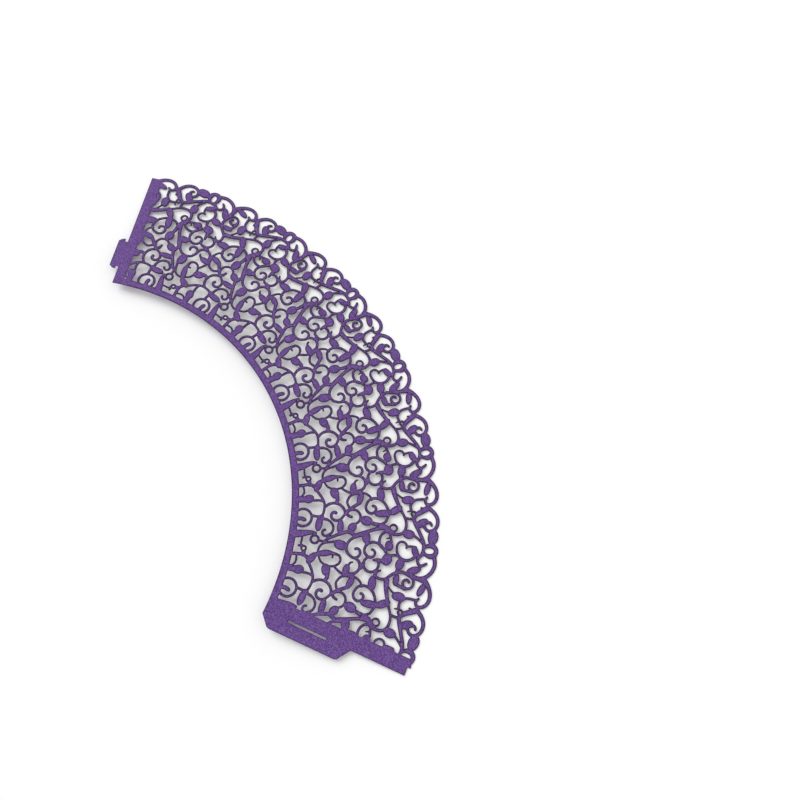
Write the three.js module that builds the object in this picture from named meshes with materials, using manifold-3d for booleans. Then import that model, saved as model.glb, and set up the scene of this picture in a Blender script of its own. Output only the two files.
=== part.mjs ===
// Cupcake wrapper before it is closed round a cake: one laser-cut sheet of card in the shape of an
// arc, with a scalloped top, a vine cut through it, a slot at one end and a hook at the other.
// Millimetres, +Z up. The scalloped edge rests on the table and the short edge is curled up a little.
import * as THREE from 'three';
import { mergeVertices } from 'three/addons/utils/BufferGeometryUtils.js';
import Module from 'manifold-3d';

const wasm = await Module();
wasm.setup();
const { Manifold, Mesh } = wasm;

// Driving dimensions
const CARD = 0.3;
const INNER_RADIUS = 87;
const OUTER_RADIUS = 140.4;
const BAND = 2.6;
const REPEAT_ANGLE = 15.15;
const REPEATS = 7;
const FIRST_REPEAT = -43.85;
const HALF_ANGLE = 52.36;
const CORNER_DROP = 1.3;
const SLOT_STRIP_LOW = 4.5;
const SLOT_STRIP_HIGH = 5.65;
const HOOK_STRIP_LOW = 3.7;
const HOOK_STRIP_HIGH = 4.4;
const SLOT_START = 9.0;
const SLOT_LENGTH = 14.1;
const SLOT_WIDTH = 0.7;
const TAB_REACH = 4.7;
const TAB_LENGTH = 32.2;
const TAB_CHAMFER = 3.2;
const TAB_CORNER = 0.8;
const HOOK_START = 6.4;
const HOOK_LENGTH = 14.1;
const HOOK_REACH = 3.5;
const HOOK_NOTCH = 1.15;
const HOOK_BARB = 1.2;
const HOOK_CORNER = 1.2;
const HOOK_SLANT = 0.2;
const OVERLAP = 1.5;
const CURL_LIFT = 3;
const FLAT_RIM = 0.4;

// The strokes of the repeat are sketched about the arc's centre, in this frame of the sketch. They
// are stretched from it to the sizes above, and the frame changes only with the strokes.
const sketch = { inner: 87, outer: 140.4, degrees: 15.15 };

// How finely round lines are drawn
const TURN_STEP = 33;
const ARC_STEP = 2.5;
const LEAF_SIDES = 12;
const EYE_SIDES = 8;
const SCALLOP_SIDES = 14;
const ROUND_END = 0.45;

// The outline keeps at most so many places, more of them on the rim, and no hole this small
const MOST_PLACES = 2680;
const FEWEST_PLACES = 6;
const RIM_WEIGHT = 3;
const NARROWEST = 0.5;
const SMALLEST_HOLE = 0.45;

const rad = THREE.MathUtils.degToRad;

function fitted(x, y) {
  const drawn = Math.hypot(x, y);
  const share = (drawn - sketch.inner) / (sketch.outer - sketch.inner);
  const radius = INNER_RADIUS + share * (OUTER_RADIUS - INNER_RADIUS);
  const angle = Math.atan2(x, y) * REPEAT_ANGLE / sketch.degrees;
  return new THREE.Vector2(radius * Math.sin(angle), radius * Math.cos(angle));
}

function polar(radius, degrees) {
  return new THREE.Vector2(radius * Math.sin(rad(degrees)), radius * Math.cos(rad(degrees)));
}

// A closed outline becomes a plate as thick as the card
function plate(points, low = 0, high = CARD) {
  const shape = new THREE.Shape(points);
  const raw = new THREE.ExtrudeGeometry(shape, { depth: high - low, bevelEnabled: false });
  raw.deleteAttribute('uv');
  raw.deleteAttribute('normal');
  raw.translate(0, 0, low);
  const geometry = mergeVertices(raw, 1e-4);
  const vertProperties = new Float32Array(geometry.attributes.position.array);
  const triVerts = new Uint32Array(geometry.index.array);
  return new Manifold(new Mesh({ numProp: 3, vertProperties, triVerts }));
}

// A cutter that runs out of both faces of the card
function through(points) {
  return plate(points, -CARD, 2 * CARD);
}

// The outline of a line of changing width with rounded ends
function ribbon(path, widths) {
  const left = [];
  const right = [];
  const last = path.length - 1;
  path.forEach((point, i) => {
    const before = path[Math.max(i - 1, 0)];
    const after = path[Math.min(i + 1, last)];
    const along = after.clone().sub(before).normalize();
    const across = new THREE.Vector2(-along.y, along.x).multiplyScalar(widths[i] / 2);
    left.push(point.clone().add(across));
    right.unshift(point.clone().sub(across));
    if (i === last) {
      left.push(point.clone().addScaledVector(along, widths[i] * ROUND_END));
    }
    if (i === 0) {
      right.push(point.clone().addScaledVector(along, -widths[i] * ROUND_END));
    }
  });
  return plate([...left, ...right].map((p) => fitted(p.x, p.y)));
}

const lines = [];
const cuts = [];

// A stem bends smoothly through a few places, from one width to another
function stem(wide, narrow, ...places) {
  const curve = new THREE.SplineCurve(places.map(([x, y]) => new THREE.Vector2(x, y)));
  const path = [];
  const spans = places.length - 1;
  for (let span = 0; span < spans; span += 1) {
    const from = curve.getTangent(span / spans);
    const to = curve.getTangent((span + 1) / spans);
    const turn = Math.acos(Math.min(1, from.dot(to)));
    const steps = Math.max(1, Math.round(turn / rad(TURN_STEP)));
    for (let step = 0; step < steps; step += 1) {
      path.push(curve.getPoint((span + step / steps) / spans));
    }
  }
  path.push(curve.getPoint(1));
  const widths = path.map((p, i) => wide + (narrow - wide) * i / (path.length - 1));
  lines.push(ribbon(path, widths));
}

// A curl winds about a centre from one angle and radius to another
function curl(x, y, startAngle, startRadius, endAngle, endRadius, wide, narrow, ease = 1) {
  const steps = Math.max(2, Math.ceil(Math.abs(endAngle - startAngle) / TURN_STEP));
  const path = [];
  const widths = [];
  for (let step = 0; step <= steps; step += 1) {
    const share = step / steps;
    const angle = rad(startAngle + (endAngle - startAngle) * share);
    const radius = startRadius + (endRadius - startRadius) * share ** ease;
    path.push(new THREE.Vector2(x + radius * Math.cos(angle), y + radius * Math.sin(angle)));
    widths.push(wide + (narrow - wide) * share);
  }
  lines.push(ribbon(path, widths));
}

function oval(x, y, length, width, degrees, sides) {
  const points = [];
  for (let i = 0; i < sides; i += 1) {
    const turn = rad(360 * i / sides);
    const p = new THREE.Vector2(length / 2 * Math.cos(turn), width / 2 * Math.sin(turn));
    p.rotateAround(new THREE.Vector2(0, 0), rad(degrees));
    points.push(fitted(x + p.x, y + p.y));
  }
  return points;
}

function leaf(x, y, length, width, degrees) {
  lines.push(plate(oval(x, y, length, width, degrees, LEAF_SIDES)));
}

function eye(x, y, outer, length, width, degrees) {
  lines.push(plate(oval(x, y, outer * 2, outer * 2, 0, LEAF_SIDES)));
  cuts.push(through(oval(x, y, length, width, degrees, EYE_SIDES)));
}

// Left lobe of the scalloped rim, with its leaf and the curl below it
stem(1.6, 0.9, [-18.7, 135.9], [-17.4, 137.3], [-15.3, 138.7], [-13, 139.15], [-11.1, 138.6],
  [-9.9, 137.4], [-9.55, 135.9], [-10.3, 134.95], [-11.3, 134.9], [-12.2, 135.5]);
leaf(-15.4, 135.45, 5.2, 2.4, -16);
stem(2.4, 1.1, [-18.9, 135.3], [-18.6, 134], [-18.6, 131.8]);
stem(0.9, 1.0, [-11.5, 134.9], [-11.35, 133.2], [-11, 131.4], [-10, 130.2], [-8.7, 129.5], [-6.9, 129.8]);
eye(-5.8, 130.8, 1.2, 1.1, 0.8, 30);
stem(0.8, 0.4, [-6.8, 129.7], [-6.4, 128.4]);
leaf(-10.7, 128.4, 4.7, 3.1, 101);
stem(0.8, 0.6, [-11.2, 126.8], [-11.5, 125.8], [-12.5, 124.3]);
curl(-15.9, 129.9, 190, 2.7, -230, 0.8, 1.0, 1.0);
stem(1.0, 1.2, [-13.7, 130], [-14.0, 128], [-14.4, 126.3]);
leaf(-15.7, 125.9, 4.2, 2.3, 5);
stem(1.2, 1.0, [-18.6, 130], [-19, 127.4], [-18.1, 125.2], [-16.4, 123.5], [-14.9, 122.4], [-14.3, 121],
  [-14.2, 119.6], [-14.8, 118.3]);

// Second lobe
stem(1.5, 1.1, [-8.2, 136.4], [-7.1, 138], [-5.5, 139.3], [-3.7, 139.8], [-1.9, 139.5], [-0.5, 138.4],
  [0, 136.9], [-0.5, 135.6], [-1.4, 135]);
curl(-2.1, 136.5, 215, 1.05, 90, 1.05, 1.2, 0.9);
leaf(-2.7, 134, 5.0, 2.9, -58);
stem(2.1, 1.5, [-8.4, 136.1], [-7.2, 134.3], [-6.1, 132.5], [-4.9, 131.2], [-3.8, 130.8]);
stem(1.0, 0.7, [-7.9, 134.8], [-8.2, 133.4]);
stem(1.4, 1.2, [-4.4, 130.8], [-2.6, 131.4], [-0.2, 132.7], [2, 133.9], [4.2, 134.9], [6.3, 135],
  [8.3, 134.5], [9.4, 133.5]);
stem(0.9, 0.9, [-4.1, 130.8], [-3.9, 129.4], [-4.1, 127.8]);

// The two small scallops between the lobes, the second one with a long hole
leaf(2.1, 138.25, 5.5, 3.9, -12);
lines.push(plate(oval(7, 137.6, 5.6, 5.6, 0, SCALLOP_SIDES)));
cuts.push(through(oval(7, 137.05, 2.1, 3.4, 0, 10)));

// Third lobe
stem(1.5, 1.3, [8.6, 138.9], [10.4, 139.2], [12, 139.2], [13.6, 138.6], [15.1, 137.5], [16.2, 136],
  [16.7, 134.2], [16.6, 132.4]);
curl(10.9, 135, 125, 3.1, 335, 1.8, 1.1, 1.0, 0.6);
stem(1.1, 0.9, [12.5, 134.2], [12, 135.4], [11.5, 136.2]);
leaf(14.1, 131.8, 5.4, 2.6, -74);
stem(1.0, 1.2, [12.2, 134.2], [13.4, 133.7]);
stem(1.3, 1.3, [14.8, 131.3], [16.2, 130.7]);
stem(1.6, 1.5, [16.7, 132.8], [16, 130.8]);
leaf(12.3, 126.7, 4.2, 3.2, -25);
stem(1.4, 1.4, [13.2, 126.2], [15.4, 125.7]);
curl(7.2, 128.9, 55, 3.7, -95, 3.6, 1.2, 0.9);
curl(6.2, 127.4, -80, 2.1, -285, 1.4, 0.9, 0.8);
leaf(7.5, 131.9, 3.6, 2.5, 15);
stem(1.5, 1.5, [8.4, 132.6], [9.6, 133.3]);
stem(0.9, 0.8, [6.1, 132.2], [5.85, 130.8], [6, 129.2]);
stem(0.9, 0.9, [1.9, 131.2], [2.7, 132.4], [3.7, 133.7], [4.6, 134.6]);
leaf(1.65, 129.4, 4.4, 3.3, 90);

// The long spike and the arch over the eye
stem(2.0, 0.9, [-14.6, 122.8], [-12.5, 123.3], [-10.3, 124.2], [-8, 125.4], [-5.6, 126.8]);
stem(0.9, 1.3, [-5.6, 126.8], [-3.6, 127.9], [-1.5, 128.3], [0.4, 127.9], [1.6, 126.8], [2.1, 125.2],
  [1.9, 123.6], [1.2, 122.2]);
leaf(-6.6, 124.1, 5.6, 2.8, -55);
leaf(-5.1, 119.6, 6.2, 2.7, -80);
eye(-0.1, 123.7, 1.65, 1.9, 1.5, 90);
stem(2.2, 1.1, [1.2, 122.6], [-0.2, 120.8], [-0.8, 118.8], [-1.1, 116.8], [-1.6, 115.2]);
stem(1.0, 1.0, [-5, 121.8], [-3.5, 121.3], [-2.1, 120.7], [-1.2, 119.3]);
leaf(-11.9, 118.3, 5.2, 3.0, 12);
curl(-6.7, 115.6, 88, 5.8, 240, 2.45, 1.0, 1.0, 0.75);
curl(-6.7, 115.6, 240, 2.45, 530, 0.75, 1.0, 1.0, 1.3);
leaf(-2, 113.8, 4.5, 3.5, 80);

// The long straight stem and the pair of curls beside it
stem(1.4, 1.1, [0.1, 120.4], [0.5, 118], [1.2, 116], [2, 113.8], [2.8, 111.5], [3.7, 109.9]);
stem(1.7, 1.4, [2.7, 113.8], [3.2, 111.8], [4, 110]);
leaf(3.9, 114.2, 4.2, 3.0, 0);
stem(1.2, 1.0, [5.2, 114.5], [6.6, 114.4]);
stem(1.0, 1.0, [1.1, 122], [1.7, 120.5], [2.8, 119.4], [4.3, 118.95], [5.9, 119.1], [7, 120], [7.8, 121.3]);
leaf(6.2, 122.5, 3.6, 3.0, 20);
stem(0.9, 1.0, [1.9, 122.6], [3.3, 122.9], [4.9, 123.3]);
stem(0.8, 0.4, [3.3, 122.8], [3.8, 121.4]);
stem(0.9, 1.0, [6.8, 121.7], [8.2, 121.5], [9.4, 121.8]);
leaf(11, 122, 4.3, 3.7, -20);
stem(1.0, 1.0, [9.4, 126.1], [9.3, 124.4], [9.7, 122.9]);
curl(8.9, 116.2, 95, 5.2, 300, 1.95, 1.0, 1.0, 0.7);
curl(8.9, 116.2, 300, 1.95, 525, 0.95, 1.0, 0.9, 1.5);
curl(13, 116.5, 115, 2.7, -165, 2.65, 1.0, 1.0);
stem(1.6, 0.9, [11.7, 120.6], [11.4, 118.8], [11.5, 117.3]);
stem(1.1, 1.1, [15.1, 118], [16.2, 118.1], [17.3, 118.1]);
stem(1.2, 0.7, [16.3, 118.2], [15.4, 118.9], [14.9, 120]);
curl(9, 110.6, -185, 5.4, -50, 2.3, 1.1, 1.0, 0.75);
curl(9, 110.6, -50, 2.3, 180, 0.85, 1.0, 1.0, 2);

// The arch of the small leaf pair
curl(-15.4, 109.6, 190, 2.6, 15, 3.0, 1.0, 1.1);
stem(1.0, 0.6, [-15, 108.5], [-16, 108.8], [-16.4, 109.5]);
leaf(-16.6, 113.1, 3.6, 1.5, -10);
leaf(-13.3, 108.2, 4.1, 2.5, 0);
leaf(-12, 109.9, 3.4, 1.9, -70);
stem(0.8, 0.8, [-9.6, 115.2], [-10.9, 114.4], [-11.7, 112.9], [-12.1, 111]);
stem(1.0, 0.8, [-11.6, 109], [-11.6, 107.3], [-12, 105.8], [-12.9, 104]);
leaf(-9.7, 111, 4.5, 2.4, -14);
stem(0.9, 0.9, [-11.3, 108.9], [-10.6, 107.5], [-9.3, 106.7], [-7.9, 106.4], [-6.4, 107.2]);
stem(1.3, 1.3, [-8.2, 111], [-7, 109.4], [-6, 108.1], [-5, 107], [-3.9, 106.1]);
curl(-3, 109, 215, 2.6, 0, 2.6, 0.9, 0.9);
stem(1.2, 0.9, [-4.3, 106.4], [-3.3, 107.2], [-2.9, 108.5]);
leaf(0.8, 108.9, 3.8, 3.0, -35);

// The big curl and its neighbours
stem(1.4, 1.0, [3.4, 110.2], [2.5, 108], [2.6, 106.8], [3.7, 104], [4.4, 102.5], [5.2, 101], [6.2, 99.6]);
curl(-3.2, 102.4, 235, 4.5, 100, 3.7, 1.0, 1.0);
curl(-3.2, 102.5, 100, 3.6, -200, 0.75, 0.9, 1.2, 0.5);
leaf(-11, 101.6, 4.2, 3.2, 25);
stem(1.6, 1.3, [-10, 102.5], [-8.6, 102.9], [-7.4, 102.4]);
leaf(0.9, 104.7, 5.6, 2.4, 0);
leaf(7.2, 105.4, 5.0, 3.4, 80);
stem(0.9, 0.8, [5.7, 104.8], [6.2, 103], [6.5, 101], [7, 99.3], [8, 98.2], [9.3, 97.7], [10.6, 97.6]);
stem(0.7, 1.0, [11.3, 98], [13.3, 98.9], [14.5, 101], [14.6, 103.4], [13.6, 105.2], [12.1, 105.7],
  [10.8, 105.1], [10.4, 103.6]);
stem(0.8, 0.6, [10.6, 103], [11.7, 102.8]);
stem(0.9, 1.7, [10.4, 104.2], [10.2, 102.7], [10.1, 101.3]);
leaf(10.35, 100, 5.8, 2.3, -82);
stem(1.5, 1.5, [10.7, 98], [11, 96.9], [11.6, 96.1]);
leaf(12.3, 95.6, 4.8, 2.5, -38);
stem(1.2, 1.2, [12.8, 94.6], [11.7, 93.4], [11.1, 92]);
curl(2, 99.5, 195, 3.55, 20, 2.4, 0.9, 0.9, 0.7);
curl(3.2, 99.6, 30, 1.3, -170, 0.9, 0.9, 0.9);
leaf(0.3, 97.1, 5.6, 2.6, -6);
stem(1.5, 0.9, [-2.4, 97.8], [-1.5, 98.5], [-1.4, 99.8]);
stem(1.2, 1.2, [3.8, 101.2], [5.4, 100.6]);

// The row above the lower band
stem(1.0, 0.9, [-13.2, 93.9], [-11.3, 95.2], [-9.8, 96.6], [-8.3, 97.7], [-6.8, 98.4], [-5.2, 98.5],
  [-3.6, 98.3], [-2.0, 97.9]);
stem(0.9, 0.9, [-7.6, 98.1], [-7.9, 96.6], [-7.8, 95.2], [-7.6, 93.8]);
leaf(-8.1, 92.7, 3.8, 3.1, -70);
stem(2.2, 2.3, [-7.9, 92], [-7.6, 88.5]);
stem(0.9, 1.0, [-2.3, 98], [-2.1, 96.6], [-2.3, 94.3]);
curl(-1.35, 91.3, 220, 3.1, -40, 3.0, 0.9, 1.0);
stem(1.6, 1.4, [-0.9, 88.8], [-1, 91]);
leaf(-0.8, 91.5, 2.3, 1.5, 75);
stem(3.0, 0.9, [4.4, 88.5], [4.2, 91.2], [3.8, 93.3], [3.6, 95], [3.7, 96.4]);
eye(5.85, 96.1, 1.8, 1.9, 1.9, 0);
stem(0.8, 0.9, [6.1, 97.5], [6.4, 99.3]);
eye(9.2, 92.6, 1.15, 0.9, 0.9, 0);
stem(0.9, 0.8, [8.3, 92.1], [8.35, 90.8]);
stem(1.3, 1.5, [9.9, 92.8], [11.4, 92.6]);
stem(1.2, 1.2, [11.1, 93], [11.2, 91], [11.1, 88.5]);
stem(0.7, 0.7, [4.8, 91.8], [6.5, 91.6], [7.6, 91.5], [8.4, 92]);
stem(0.7, 0.7, [-12.9, 90], [-11.5, 90.6], [-10.2, 90.8], [-9.2, 90.4], [-8.4, 89.7]);

// The arc from one end to the other, and the sector that the vine is trimmed to
function arc(radius, from, to, steps) {
  const points = [];
  for (let i = 0; i <= steps; i += 1) {
    points.push(polar(radius, from + (to - from) * i / steps));
  }
  return points;
}

function degreesFor(length, radius) {
  return THREE.MathUtils.radToDeg(length / radius);
}

const cornerRadius = OUTER_RADIUS - CORNER_DROP;
const arcSteps = Math.ceil(HALF_ANGLE * 2 / ARC_STEP);

const unit = Manifold.union(lines).subtract(Manifold.union(cuts)).asOriginal();
const repeats = [];
for (let i = 0; i < REPEATS; i += 1) {
  repeats.push(unit.rotate([0, 0, -(FIRST_REPEAT + i * REPEAT_ANGLE)]));
}
const lowRadius = INNER_RADIUS + BAND / 2;
const hookSide = -HALF_ANGLE + degreesFor(HOOK_STRIP_LOW / 2, INNER_RADIUS);
const slotSide = HALF_ANGLE - degreesFor(SLOT_STRIP_LOW / 2, INNER_RADIUS);
const past = OUTER_RADIUS * 1.3;
const trim = through([
  polar(lowRadius, hookSide),
  polar(OUTER_RADIUS + BAND, -HALF_ANGLE + degreesFor(HOOK_STRIP_HIGH / 2, OUTER_RADIUS)),
  polar(past, -HALF_ANGLE / 2),
  polar(past, HALF_ANGLE / 2),
  polar(OUTER_RADIUS + BAND, HALF_ANGLE - degreesFor(SLOT_STRIP_HIGH / 2, OUTER_RADIUS)),
  ...arc(lowRadius, slotSide, hookSide, arcSteps).slice(0, -1),
]);
const vine = Manifold.union(repeats).intersect(trim);

const band = plate([
  ...arc(INNER_RADIUS, -HALF_ANGLE, HALF_ANGLE, arcSteps),
  ...arc(INNER_RADIUS + BAND, HALF_ANGLE, -HALF_ANGLE, arcSteps),
]);

// Solid strips at the two ends
function strip(side, low, high) {
  const end = side * HALF_ANGLE;
  return plate([
    polar(INNER_RADIUS, end),
    polar(INNER_RADIUS + BAND / 2, end - side * degreesFor(low, INNER_RADIUS)),
    polar(cornerRadius, end - side * degreesFor(high, cornerRadius)),
    polar(cornerRadius, end),
  ]);
}
const hookStrip = strip(-1, HOOK_STRIP_LOW, HOOK_STRIP_HIGH);
const slotStrip = strip(1, SLOT_STRIP_LOW, SLOT_STRIP_HIGH);

// Points beside an end edge: so far along it from the short edge, and so far out from it
function besideEnd(side, along, out) {
  const end = polar(INNER_RADIUS + along, side * HALF_ANGLE);
  const outward = new THREE.Vector2(side * Math.cos(rad(HALF_ANGLE)), -Math.sin(rad(HALF_ANGLE)));
  return end.addScaledVector(outward, out);
}

const tab = plate([
  besideEnd(1, 0, -OVERLAP),
  besideEnd(1, 0, TAB_REACH * 0.22),
  besideEnd(1, TAB_CHAMFER, TAB_REACH * 0.93),
  besideEnd(1, TAB_CHAMFER + TAB_CORNER, TAB_REACH),
  besideEnd(1, TAB_LENGTH - TAB_CHAMFER - TAB_CORNER, TAB_REACH),
  besideEnd(1, TAB_LENGTH - TAB_CHAMFER, TAB_REACH * 0.93),
  besideEnd(1, TAB_LENGTH, 0),
  besideEnd(1, TAB_LENGTH, -OVERLAP),
]);
const slot = through([
  besideEnd(1, SLOT_START, -SLOT_WIDTH / 2),
  besideEnd(1, SLOT_START, SLOT_WIDTH / 2),
  besideEnd(1, SLOT_START + SLOT_LENGTH, SLOT_WIDTH / 2),
  besideEnd(1, SLOT_START + SLOT_LENGTH, -SLOT_WIDTH / 2),
]);

const hookEnd = HOOK_START + HOOK_LENGTH;
const hook = plate([
  besideEnd(-1, HOOK_START + HOOK_BARB, -OVERLAP),
  besideEnd(-1, HOOK_START + HOOK_BARB, HOOK_NOTCH),
  besideEnd(-1, HOOK_START, HOOK_NOTCH),
  besideEnd(-1, HOOK_START + HOOK_SLANT, HOOK_REACH - HOOK_CORNER),
  besideEnd(-1, HOOK_START + HOOK_CORNER, HOOK_REACH),
  besideEnd(-1, hookEnd - HOOK_CORNER, HOOK_REACH),
  besideEnd(-1, hookEnd - HOOK_SLANT, HOOK_REACH - HOOK_CORNER),
  besideEnd(-1, hookEnd, HOOK_NOTCH),
  besideEnd(-1, hookEnd - HOOK_BARB, HOOK_NOTCH),
  besideEnd(-1, hookEnd - HOOK_BARB, -OVERLAP),
]);

const joined = Manifold.union([vine, band, hookStrip, slotStrip, tab, hook]).subtract(slot).asOriginal();

// The closed edges of the flat sheet, followed round its lower face
function edgeLoops(solid) {
  const { vertProperties, triVerts } = solid.getMesh();
  const edges = new Map();
  for (let t = 0; t < triVerts.length; t += 3) {
    const corners = triVerts.slice(t, t + 3);
    if (corners.every((v) => vertProperties[3 * v + 2] < CARD / 2)) {
      corners.forEach((v, i) => {
        const next = corners[(i + 1) % 3];
        if (!edges.delete(`${next} ${v}`)) {
          edges.set(`${v} ${next}`, next);
        }
      });
    }
  }
  const follows = new Map();
  edges.forEach((next, key) => follows.set(Number(key.split(' ')[0]), next));
  const loops = [];
  while (follows.size > 0) {
    let v = follows.keys().next().value;
    const loop = [];
    while (follows.has(v)) {
      loop.push(new THREE.Vector2(vertProperties[3 * v], vertProperties[3 * v + 1]));
      const next = follows.get(v);
      follows.delete(v);
      v = next;
    }
    loops.push(loop);
  }
  return loops;
}

// How much of the outline is lost without one of its places
function loss(loop, i) {
  const before = loop[(i + loop.length - 1) % loop.length];
  const after = loop[(i + 1) % loop.length];
  return Math.abs(loop[i].clone().sub(before).cross(after.clone().sub(before))) / 2;
}

// Whether the line that is left without a place would come too near the rest of the outline
function tooNear(loops, loop, i) {
  const at = (step) => loop[(i + step + loop.length) % loop.length];
  const own = [at(-2), at(-1), at(0), at(1), at(2)];
  const corner = new THREE.Triangle(...[at(-1), at(0), at(1)].map((p) => new THREE.Vector3(p.x, p.y, 0)));
  const line = new THREE.Line3(corner.a, corner.c);
  const reach = new THREE.Box3().setFromPoints([corner.a, corner.b, corner.c]).expandByScalar(NARROWEST);
  const spot = new THREE.Vector3();
  const foot = new THREE.Vector3();
  return loops.some((other) => other.some((p) => {
    spot.set(p.x, p.y, 0);
    if (own.includes(p) || !reach.containsPoint(spot)) {
      return false;
    }
    line.closestPointToPoint(spot, true, foot);
    return corner.containsPoint(spot) || foot.distanceTo(spot) < NARROWEST;
  }));
}

// Leaves out the places that matter least until no more than so many are left in all
function thin(loops, weights, most) {
  const losses = loops.map((loop, k) => loop.map((p, i) => weights[k] * loss(loop, i)));
  const least = losses.map((row) => Math.min(...row));
  let count = loops.reduce((sum, loop) => sum + loop.length, 0);
  while (count > most) {
    const k = least.indexOf(Math.min(...least));
    const loop = loops[k];
    const gone = losses[k].indexOf(least[k]);
    if (tooNear(loops, loop, gone)) {
      losses[k][gone] = 1000;
    } else {
      loop.splice(gone, 1);
      losses[k].splice(gone, 1);
      [gone - 1, gone].forEach((i) => {
        const near = (i + loop.length) % loop.length;
        losses[k][near] = weights[k] * loss(loop, near);
      });
      count -= 1;
    }
    least[k] = loop.length > FEWEST_PLACES ? Math.min(...losses[k]) : Infinity;
  }
}

const areaOf = (loop) => Math.abs(THREE.ShapeUtils.area(loop));
const loops = edgeLoops(joined).filter((loop) => areaOf(loop) > SMALLEST_HOLE);
loops.sort((one, other) => areaOf(other) - areaOf(one));
thin(loops, loops.map((loop, k) => (k === 0 ? RIM_WEIGHT : 1)), MOST_PLACES);
const sheet = new THREE.Shape(loops[0]);
sheet.holes = loops.slice(1).map((loop) => new THREE.Path(loop));
const extruded = new THREE.ExtrudeGeometry(sheet, { depth: CARD, bevelEnabled: false });
extruded.deleteAttribute('uv');
extruded.deleteAttribute('normal');
const geometry = mergeVertices(extruded, 1e-4);

// The sheet keeps some curl from its stack: every line towards the arc's centre stays straight
const position = geometry.attributes.position;
const rest = OUTER_RADIUS + FLAT_RIM;
for (let i = 0; i < position.count; i += 1) {
  const radius = Math.hypot(position.getX(i), position.getY(i));
  const lift = CURL_LIFT * Math.max(0, (rest - radius) / (rest - INNER_RADIUS));
  position.setZ(i, position.getZ(i) + lift);
}
geometry.computeBoundingBox();
const box = geometry.boundingBox;
geometry.translate(-(box.min.x + box.max.x) / 2, -(box.min.y + box.max.y) / 2, -box.min.z);
geometry.computeVertexNormals();

const purpleCard = new THREE.MeshStandardMaterial({ color: 0x5f4387, roughness: 0.5, metalness: 0.15 });
purpleCard.name = 'pearl_purple_card';
const wrapper = new THREE.Mesh(geometry, purpleCard);
wrapper.name = 'wrapper_sheet';

const group = new THREE.Group();
group.name = 'cupcake_wrapper';
group.add(wrapper);
export default group;
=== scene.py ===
"""Cupcake wrapper: one laser-cut sheet of pearl card, flat, as it lies before it is closed."""

import math

import bpy
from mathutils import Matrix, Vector, kdtree
from mathutils.geometry import delaunay_2d_cdt


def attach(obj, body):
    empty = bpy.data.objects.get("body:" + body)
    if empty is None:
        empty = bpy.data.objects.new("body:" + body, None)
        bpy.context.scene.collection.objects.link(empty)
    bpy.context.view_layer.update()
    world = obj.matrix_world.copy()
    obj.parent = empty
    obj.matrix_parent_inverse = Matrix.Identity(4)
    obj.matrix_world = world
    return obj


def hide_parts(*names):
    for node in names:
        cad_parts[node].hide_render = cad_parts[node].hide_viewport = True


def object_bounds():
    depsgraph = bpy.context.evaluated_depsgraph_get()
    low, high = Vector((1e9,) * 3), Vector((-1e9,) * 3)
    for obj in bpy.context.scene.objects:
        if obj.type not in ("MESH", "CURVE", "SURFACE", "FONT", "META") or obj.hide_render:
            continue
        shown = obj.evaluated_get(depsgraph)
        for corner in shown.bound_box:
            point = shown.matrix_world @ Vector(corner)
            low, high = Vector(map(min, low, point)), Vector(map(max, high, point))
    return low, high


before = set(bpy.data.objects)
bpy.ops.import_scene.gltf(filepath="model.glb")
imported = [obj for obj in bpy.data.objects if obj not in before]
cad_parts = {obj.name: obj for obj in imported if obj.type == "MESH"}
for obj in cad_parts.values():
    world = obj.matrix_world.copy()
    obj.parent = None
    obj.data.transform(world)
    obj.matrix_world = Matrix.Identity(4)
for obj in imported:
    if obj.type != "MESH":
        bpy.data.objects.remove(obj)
bounds_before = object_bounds()

# Sizes in millimetres and degrees, the same as in the part's source. Angles run round the centre of
# the sheet's arc, from its middle.
MM = 0.001
CARD = 0.3
INNER_RADIUS = 87
OUTER_RADIUS = 140.4
BAND = 2.6
REPEAT_ANGLE = 15.15
REPEATS = 7
FIRST_REPEAT = -43.85
HALF_ANGLE = 52.36

# The bare strips at the two ends, each with its width at the short edge and at the rim. They stop
# a little inside the rim, and the tab and the hook overlap them.
CORNER_DROP = 1.3
SLOT_STRIP_LOW = 4.5
SLOT_STRIP_HIGH = 5.65
HOOK_STRIP_LOW = 3.7
HOOK_STRIP_HIGH = 4.4
OVERLAP = 1.5

# The slot, and the tab that it is cut in. The tab's two shares are of its reach, at its first
# corner and where its chamfers end.
SLOT_START = 9.0
SLOT_LENGTH = 14.1
SLOT_WIDTH = 0.7
TAB_REACH = 4.7
TAB_LENGTH = 32.2
TAB_CHAMFER = 3.2
TAB_CORNER = 0.8
TAB_START_SHARE = 0.22
TAB_CHAMFER_SHARE = 0.93

# The hook that goes in the slot
HOOK_START = 6.4
HOOK_LENGTH = 14.1
HOOK_REACH = 3.5
HOOK_NOTCH = 1.15
HOOK_BARB = 1.2
HOOK_CORNER = 1.2
HOOK_SLANT = 0.2

# The curl: how far the short edge is lifted, and how far past the rim its slope would end
CURL_LIFT = 3
FLAT_RIM = 0.4

# The vine is left only in a field between the strips, which reaches this many outer radii out
FIELD_REACH = 1.3

# How finely round lines are drawn: the part's own step for a bend is cut in FINER steps here
BEND_STEP = 33
FINER = 2
ARC_STEP = 0.5
LEAF_SIDES = 28
EYE_SIDES = 24
END_SIDES = 6
ROUND_END = 0.45

# How far apart places lie along a cut, and how near two of them are one, in the mesh and where
# outlines cross
SHORTEST_EDGE = 0.09
LONGEST_EDGE = 0.7
SAME_PLACE = 0.01
SAME_CROSSING = 1e-6

# A hole of less than so many square millimetres is left closed
SMALLEST_HOLE = 0.45

# Edges of the mesh that turn by more than this stay sharp
SMOOTH_ANGLE = 35

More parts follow.
